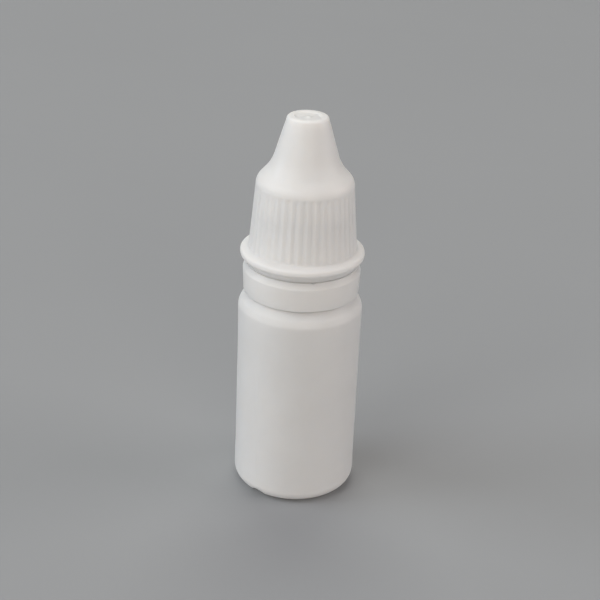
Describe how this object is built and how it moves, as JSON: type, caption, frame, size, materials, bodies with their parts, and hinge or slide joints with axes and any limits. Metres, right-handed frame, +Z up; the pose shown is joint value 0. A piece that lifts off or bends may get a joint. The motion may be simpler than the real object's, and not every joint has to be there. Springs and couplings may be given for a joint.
{
  "type": "dropper bottle",
  "caption": "White plastic squeeze dropper bottle with push-in nozzle, ribbed screw cap and tamper-evident ring.",
  "frame": {"origin": "centre of the foot, on the plane that the bottle stands on", "axes": "+Z up along the bottle's axis, -Y towards the notch in the heel"},
  "size_m": [0.022, 0.022, 0.0699],
  "materials": {
    "bottle": "blown white LDPE, satin",
    "nozzle": "moulded natural LDPE, slightly translucent",
    "cap": "moulded white HDPE, fine satin",
    "ring": "moulded white HDPE, fine satin"
  },
  "bodies": {
    "bottle": {"bottle_body": "bottle", "dropper_nozzle": "nozzle"},
    "ring": {"tamper_ring": "ring"},
    "cap": {"screw_cap": "cap"}
  },
  "joints": [
    {"name": "unscrew_turn", "type": "hinge", "parent": "bottle", "child": "ring", "pos_m": [0, 0, 0.0406], "axis": [0, 0, 1], "range_deg": [0, 3600]},
    {"name": "unscrew_lift", "type": "slide", "parent": "ring", "child": "cap", "axis": [0, 0, 1], "range_m": [0, 0.028]}
  ],
  "couplings": [
    {"joint": "unscrew_turn", "follows": "unscrew_lift", "rad_per_m": 2244}
  ]
}
